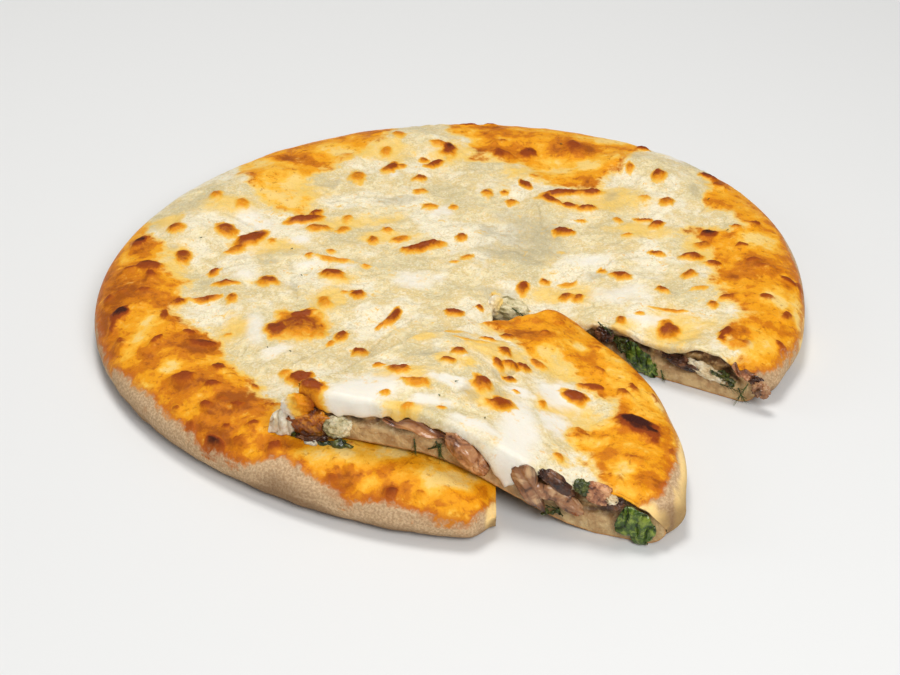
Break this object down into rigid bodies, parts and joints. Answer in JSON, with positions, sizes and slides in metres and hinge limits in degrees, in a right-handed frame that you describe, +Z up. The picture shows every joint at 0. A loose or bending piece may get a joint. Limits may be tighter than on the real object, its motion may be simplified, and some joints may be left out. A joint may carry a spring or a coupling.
{
  "type": "imeruli khachapuri",
  "caption": "Round flatbread filled with cheese, mushroom and greens, topped with melted cheese, with a slice laid over its cut.",
  "frame": {"origin": "centre of the bread's flat underside, on the table", "axes": "+Z up, +Y towards the back of the bread, +X to the right of the open cut as the picture shows it"},
  "size_m": [0.2956, 0.3068, 0.0407],
  "materials": {
    "crust": "baked, dull",
    "filling": "moist",
    "cheese": "melted, satin",
    "mushroom": "cooked, moist",
    "leaf": "cooked, moist",
    "curd": "moist",
    "onion": "cooked, moist"
  },
  "bodies": {
    "root": {"bread_crust": "crust", "bread_filling": "filling", "bread_cheese": "cheese", "slice_crust": "crust", "slice_filling": "filling", "slice_cheese": "cheese", "slice_mushroom_tip": "mushroom", "slice_curd_left": "curd", "slice_curd_right": "curd", "slice_leaf_tip": "leaf", "slice_mushroom_thin": "mushroom", "slice_mushroom_pink": "mushroom", "slice_mushroom_gills": "mushroom", "slice_mushroom_cap": "mushroom", "slice_mushroom_stem": "mushroom", "slice_onion": "onion", "slice_mushroom_end": "mushroom", "slice_leaf_end": "leaf", "bread_curd_tip": "curd", "bread_mushroom_dark": "mushroom", "bread_leaf_bright": "leaf", "bread_mushroom_flat": "mushroom", "bread_leaf_dark": "leaf", "bread_onion_curl": "onion", "bread_mushroom_end": "mushroom"}
  },
  "joints": []
}
